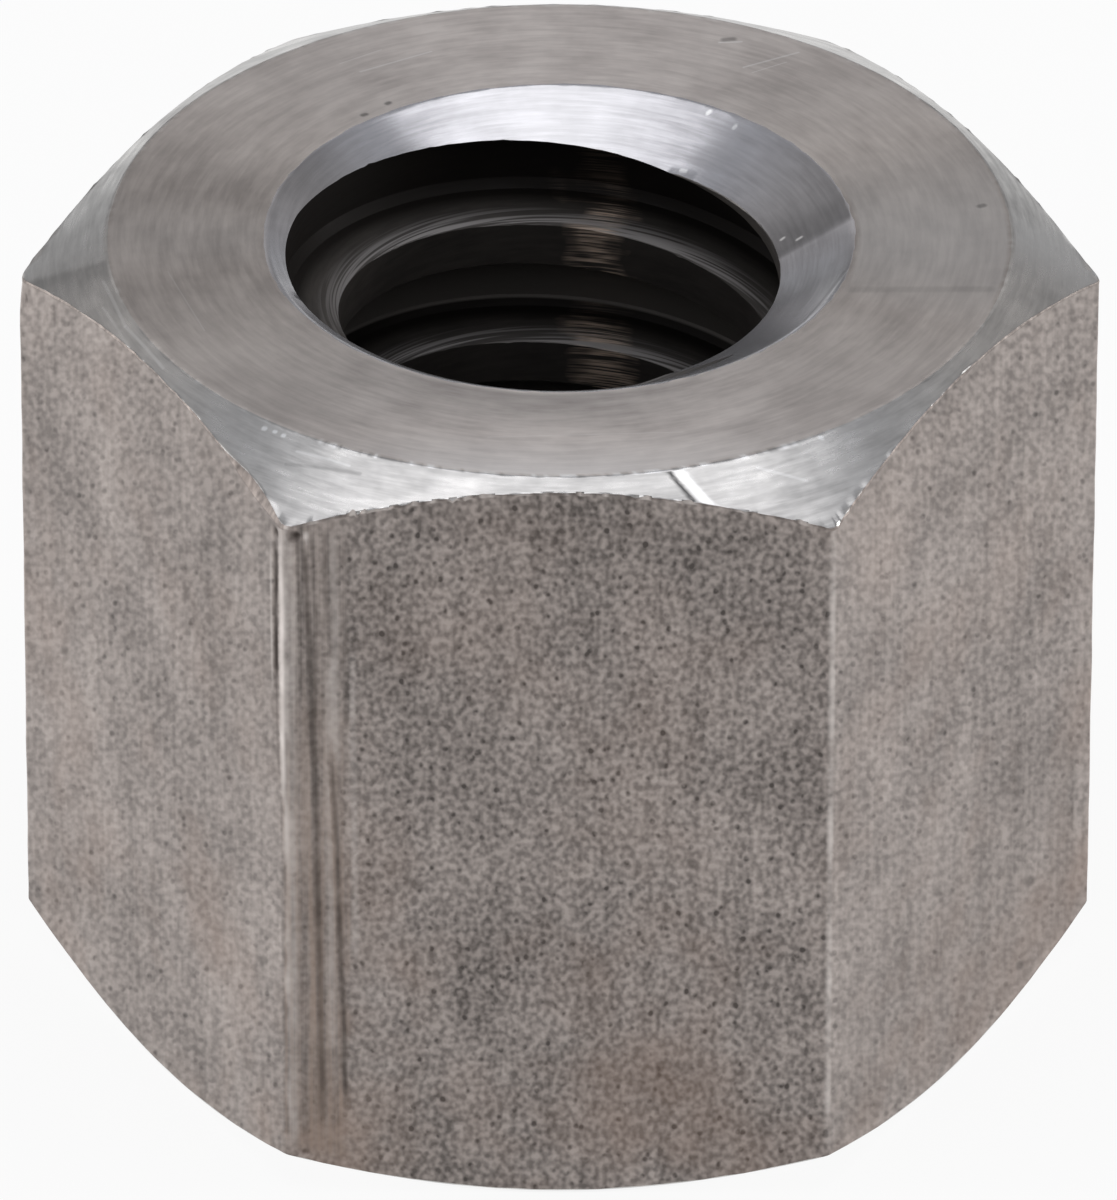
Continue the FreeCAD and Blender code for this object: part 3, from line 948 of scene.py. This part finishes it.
def turned_material(name, low, high, metallic, roughness, brushed, around, across, relief, marks):
    """Turned steel with fine marks of the tool round the axis, and its few scratches."""
    s = Shader(name)
    turning = s.noise(s.polar(around, across), 1.0, 3.0, 0.6)
    wide = s.noise(s.polar(around * 0.7, across * 0.16), 1.0, 2.0, 0.5)
    blotch = s.noise(s.place, 700.0, 3.0, 0.6)
    value = s.times(s.remap(turning, 0.36, 0.64), 0.38)
    value = s.math("ADD", value, s.times(s.remap(wide, 0.35, 0.65), 0.30))
    value = s.math("ADD", value, s.times(s.remap(blotch, 0.35, 0.65), 0.32))
    # The mesh's tone brings in the painted reflections of the upper end and the painted glints on
    # its rims
    colour = s.toned(s.mix(value, low, high), BRIGHT_MARKS_AND_LIGHT, DARK_MARKS_AND_SHADE)
    for start, end, width, shade in marks:
        share = s.times(s.scratch(start, end, width), abs(shade))
        colour = s.mix(share, colour, BRIGHT_MARKS_AND_LIGHT if shade > 0 else DARK_MARKS_AND_SHADE)
    s.set(s.bsdf.inputs["Base Color"], colour)
    s.bsdf.inputs["Metallic"].default_value = metallic
    gloss = s.remap(value, 0.0, 1.0, roughness + 0.05, roughness - 0.05)
    s.set(s.bsdf.inputs["Roughness"], gloss)
    s.brush(brushed)
    s.bump(turning, relief, 0.6)
    return s.material


def thread_material():
    """Dark thread with painted highlight lines beside its crest and a painted reflection in brown
    at the back.
    """
    s = Shader("cut_thread")
    place = s.node("ShaderNodeSeparateXYZ", {0: s.place})
    normal = s.node("ShaderNodeTexCoord").outputs["Normal"]
    upward = s.node("ShaderNodeSeparateXYZ", {0: normal}).outputs["Z"]
    radius = s.vector("LENGTH", s.vector("MULTIPLY", s.place, (1, 1, 0)))

    marks = s.noise(s.polar(5.0, 5200.0), 1.0, 3.0, 0.6)
    stain = s.noise(s.place, 420.0, 3.0, 0.6)
    value = s.times(s.remap(marks, 0.3, 0.7), 0.5)
    value = s.math("ADD", value, s.times(s.remap(stain, 0.3, 0.7), 0.5))
    colour = s.mix(value, THREAD_DARK, THREAD_LIGHT)

    # Painted reflection in brown down the back of the bore, broken up by fine lines
    wobble = s.remap(s.noise(s.place, 700.0, 2.0, 0.6), 0.3, 0.7, -0.0006, 0.0006)
    aside = s.math("ADD", s.math("SUBTRACT", place.outputs["X"], 0.0013), wobble)
    streak = s.remap(s.math("ABSOLUTE", aside), 0.0002, 0.0011, 1.0, 0.0)
    streak = s.times(streak, s.remap(place.outputs["Y"], 0.0, 0.004))
    rubbed = s.noise(s.polar(3.0, 14000.0), 1.0, 2.0, 0.6)
    colour = s.mix(s.times(streak, s.remap(rubbed, 0.42, 0.62)), colour, THREAD_PAINTED_REFLECTION)

    # Painted shade on the lower flank and bevel, and a root painted lighter further down
    colour = s.mix(s.remap(radius, 0.00715, 0.00755, 1.0, 0.12), THREAD_PAINTED_SHADE, colour)
    root = s.times(s.remap(radius, 0.00790, 0.00795),
                   s.remap(place.outputs["Z"], 0.0205, 0.0170))
    colour = s.mix(root, colour, THREAD_ROOT_PAINTED_LIGHT)

    # Painted highlight lines on the upward-facing flank beside the crest
    lines = s.noise(s.polar(1.4, 9000.0), 1.0, 1.0, 0.5)
    near = s.remap(radius, 0.00705, 0.00650)
    near = s.times(near, s.remap(place.outputs["Y"], -0.001, 0.005, 0.30, 1.0))
    near = s.times(near, s.remap(lines, 0.44, 0.56, 0.12, 1.0))
    colour = s.mix(s.times(s.remap(upward, 0.4, 0.9), near), colour, THREAD_FLANK_HIGHLIGHT)
    s.set(s.bsdf.inputs["Base Color"], colour)
    s.bsdf.inputs["Metallic"].default_value = 0.3
    s.bsdf.inputs["Specular IOR Level"].default_value = 0.15
    s.set(s.bsdf.inputs["Roughness"], s.remap(value, 0.0, 1.0, 0.40, 0.28))
    s.brush(0.5)
    s.bump(marks, 0.000012, 0.6)
    return s.material


def add_floor():
    """White floor: its colour for the eye and for reflections, with the nut's soft shadow."""
    half = FLOOR_HALF
    mesh = bpy.data.meshes.new("floor")
    corners = [(-half, -half, 0), (half, -half, 0), (half, half, 0), (-half, half, 0)]
    mesh.from_pydata(corners, [], [(0, 1, 2, 3)])
    floor = bpy.data.objects.new("floor", mesh)
    floor.location.z = -FLOOR_DROP
    bpy.context.scene.collection.objects.link(floor)
    s = Shader("floor_white")
    s.bsdf.inputs["Base Color"].default_value = (0.82, 0.82, 0.82, 1.0)
    s.bsdf.inputs["Roughness"].default_value = 0.8
    s.bsdf.inputs["Specular IOR Level"].default_value = 0.1
    path = s.node("ShaderNodeLightPath")
    seen = s.math("MAXIMUM", path.outputs["Is Camera Ray"], path.outputs["Is Glossy Ray"])
    seen = s.math("MAXIMUM", seen, path.outputs["Is Transmission Ray"])
    flat = s.vector("MULTIPLY", s.place, (1, 1, 0))
    outside = s.remap(s.vector("LENGTH", flat), GLOW_FROM, GLOW_TO, 0.0, GLOW_SHARE)
    glow = s.node("ShaderNodeEmission", {"Color": (1, 1, 1, 1), "Strength": 1.0})
    mix = s.node("ShaderNodeMixShader", {
        0: s.times(seen, outside), 1: s.bsdf.outputs[0], 2: glow.outputs[0]})
    s.tree.links.new(mix.outputs[0], s.tree.nodes["Material Output"].inputs["Surface"])
    mesh.materials.append(s.material)


def add_world():
    """Pale studio by height of the view: white low down, grey above, darkest at 0.27."""
    world = bpy.data.worlds.new("studio")
    bpy.context.scene.world = world
    world.use_nodes = True
    nodes, links = world.node_tree.nodes, world.node_tree.links
    direction = nodes.new("ShaderNodeTexCoord").outputs["Generated"]
    parts = nodes.new("ShaderNodeSeparateXYZ")
    ramp = nodes.new("ShaderNodeValToRGB")
    links.new(direction, parts.inputs[0])
    links.new(parts.outputs["Z"], ramp.inputs[0])
    links.new(ramp.outputs[0], nodes["Background"].inputs["Color"])
    stops = [(0.0, (1, 1, 1)), (0.035, (1, 1, 1)), (0.11, (0.475, 0.48, 0.49)),
             (0.18, (0.35, 0.36, 0.375)), (0.27, (0.235, 0.23, 0.235)),
             (0.44, (0.465, 0.45, 0.445)), (0.58, (0.465, 0.45, 0.445)),
             (0.80, (0.35, 0.36, 0.385))]
    elements = ramp.color_ramp.elements
    while len(elements) < len(stops):
        elements.new(0.5)
    for element, (place, colour) in zip(elements, stops):
        element.position = place
        element.color = (*colour, 1)
    nodes["Background"].inputs["Strength"].default_value = 1.0


def add_panel(name, place, size, radiance, colour):
    """Soft rectangular lamp that faces the nut; its place is in metres."""
    light = bpy.data.lights.new(name, "AREA")
    light.shape = "RECTANGLE"
    light.size, light.size_y = size
    light.energy = radiance * math.pi * size[0] * size[1]
    light.color = colour
    lamp = bpy.data.objects.new(name, light)
    lamp.location = place
    lamp.rotation_mode = "QUATERNION"
    lamp.rotation_quaternion = (-Vector(place)).to_track_quat("-Z", "Y")
    lamp.visible_camera = False
    bpy.context.scene.collection.objects.link(lamp)


def add_camera():
    """The photograph's viewpoint, found from the nut's edges in it."""
    elevation = math.radians(32.412)
    distance, aim_drop = 0.58198, 0.000315
    roll = math.radians(0.133)
    data = bpy.data.cameras.new("camera")
    data.sensor_width = 36.0
    data.lens = 601.7
    data.clip_start, data.clip_end = 0.05, 20.0
    camera = bpy.data.objects.new("camera", data)
    back = Vector((0, -math.cos(elevation), math.sin(elevation)))
    up = Vector((0, math.sin(elevation), math.cos(elevation)))
    centre = Vector((0, 0, HEIGHT / 2 * MM))
    aim = centre - up * aim_drop
    place = centre + back * distance
    turn = (aim - place).to_track_quat("-Z", "Y").to_matrix().to_4x4()
    camera.matrix_world = Matrix.Translation(place) @ turn @ Matrix.Rotation(roll, 4, "Z")
    bpy.context.scene.collection.objects.link(camera)
    bpy.context.scene.camera = camera


CHAMFER_LOOK = {
    "low": (0.372, 0.366, 0.360, 1), "high": (0.735, 0.722, 0.705, 1), "metallic": 1.0,
    "roughness": 0.29, "brushed": 0.55, "around": 8.0, "across": 13000.0, "relief": 0.00001}
FACE_LOOK = {
    "low": (0.440, 0.405, 0.387, 1), "high": (0.675, 0.630, 0.600, 1), "metallic": 1.0,
    "roughness": 0.52, "brushed": 0.84, "around": 6.0, "across": 4600.0, "relief": 0.00001}
SINK_LOOK = {
    "low": (0.400, 0.395, 0.412, 1), "high": (0.640, 0.635, 0.662, 1), "metallic": 0.86,
    "roughness": 0.22, "brushed": 0.6, "around": 4.0, "across": 6000.0, "relief": 0.000003}

nut = build_nut()
materials = [
    bar_material(),
    turned_material("turned_chamfer", marks=CHAMFER_MARKS, **CHAMFER_LOOK),
    turned_material("turned_face", marks=FACE_MARKS, **FACE_LOOK),
    turned_material("turned_sink", marks=SINK_MARKS, **SINK_LOOK),
    thread_material(),
]
for material in materials:
    nut.data.materials.append(material)
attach(nut, "root")
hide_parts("nut")

add_floor()
add_world()
add_panel("overhead_softbox", *SOFTBOX)
add_panel("left_panel", *LEFT_PANEL)
add_panel("right_panel", *RIGHT_PANEL)
add_camera()

scene = bpy.context.scene
scene.view_settings.view_transform = "Standard"
